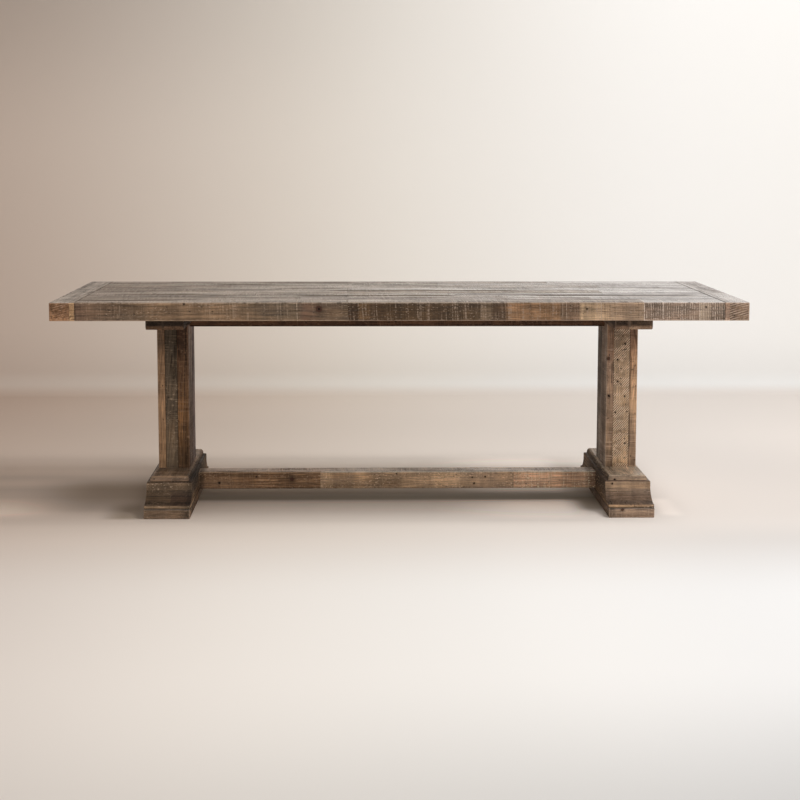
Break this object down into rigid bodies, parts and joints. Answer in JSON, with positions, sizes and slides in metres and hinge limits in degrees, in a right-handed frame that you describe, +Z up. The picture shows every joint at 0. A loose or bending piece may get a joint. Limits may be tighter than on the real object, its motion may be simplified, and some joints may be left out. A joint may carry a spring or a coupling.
{
  "type": "trestle dining table",
  "caption": "Long trestle dining table in reclaimed pine: plank top with breadboard ends, laminated posts on moulded feet, low stretcher and upper rail.",
  "frame": {"origin": "on the floor, under the middle of the top", "axes": "+X along the table to the right as seen from the front, +Y from front to back, +Z up"},
  "size_m": [2.376, 1.016, 0.762],
  "materials": {
    "tenon_wood": "planed hardwood",
    "post_pine": "dry matt wax on sawn reclaimed pine",
    "breadboard_pine": "dry matt wax on sawn reclaimed pine",
    "foot_pine": "dry matt wax on sawn reclaimed pine",
    "stretcher_pine": "dry matt wax on sawn reclaimed pine",
    "fastener_steel": "dull zinc",
    "plank_pine": "dry matt wax on sawn reclaimed pine",
    "rail_pine": "dark matt wax on sawn reclaimed pine"
  },
  "bodies": {
    "root": {"breadboard_loose_tenons": "tenon_wood", "left_cleat_inner_board": "post_pine", "left_cleat_outer_board": "post_pine", "left_end_inner_strip": "breadboard_pine", "left_end_outer_board": "breadboard_pine", "left_foot_base": "foot_pine", "left_foot_cap": "foot_pine", "left_foot_inner_body": "foot_pine", "left_foot_outer_body": "foot_pine", "left_post_core_board": "post_pine", "left_post_inner_back_board": "post_pine", "left_post_inner_front_board": "post_pine", "left_post_outer_board": "post_pine", "right_cleat_inner_board": "post_pine", "right_cleat_outer_board": "post_pine", "right_end_inner_strip": "breadboard_pine", "right_end_outer_board": "breadboard_pine", "right_foot_base": "foot_pine", "right_foot_cap": "foot_pine", "right_foot_inner_body": "foot_pine", "right_foot_outer_body": "foot_pine", "right_post_core_board": "post_pine", "right_post_inner_back_board": "post_pine", "right_post_inner_front_board": "post_pine", "right_post_outer_board": "post_pine", "stretcher_back_board": "stretcher_pine", "stretcher_bolt_washers": "fastener_steel", "stretcher_bolts": "fastener_steel", "stretcher_facing_left": "stretcher_pine", "stretcher_facing_middle": "stretcher_pine", "stretcher_facing_right": "stretcher_pine", "stretcher_square_nuts": "fastener_steel", "top_plank_1_left": "plank_pine", "top_plank_1_middle": "plank_pine", "top_plank_1_right": "plank_pine", "top_plank_2_left": "plank_pine", "top_plank_2_middle": "plank_pine", "top_plank_2_right": "plank_pine", "top_plank_3_left": "plank_pine", "top_plank_3_middle": "plank_pine", "top_plank_3_right": "plank_pine", "top_plank_4_left": "plank_pine", "top_plank_4_middle": "plank_pine", "top_plank_4_right": "plank_pine", "top_plank_5_left": "plank_pine", "top_plank_5_middle": "plank_pine", "top_plank_5_right": "plank_pine", "top_plank_6_left": "plank_pine", "top_plank_6_right": "plank_pine", "top_plank_7_left": "plank_pine", "top_plank_7_middle": "plank_pine", "top_plank_7_right": "plank_pine", "top_plank_8_left": "plank_pine", "top_plank_8_right": "plank_pine", "top_plank_9_left": "plank_pine", "top_plank_9_middle": "plank_pine", "top_plank_9_right": "plank_pine", "top_screws": "fastener_steel", "upper_rail": "rail_pine"}
  },
  "joints": []
}
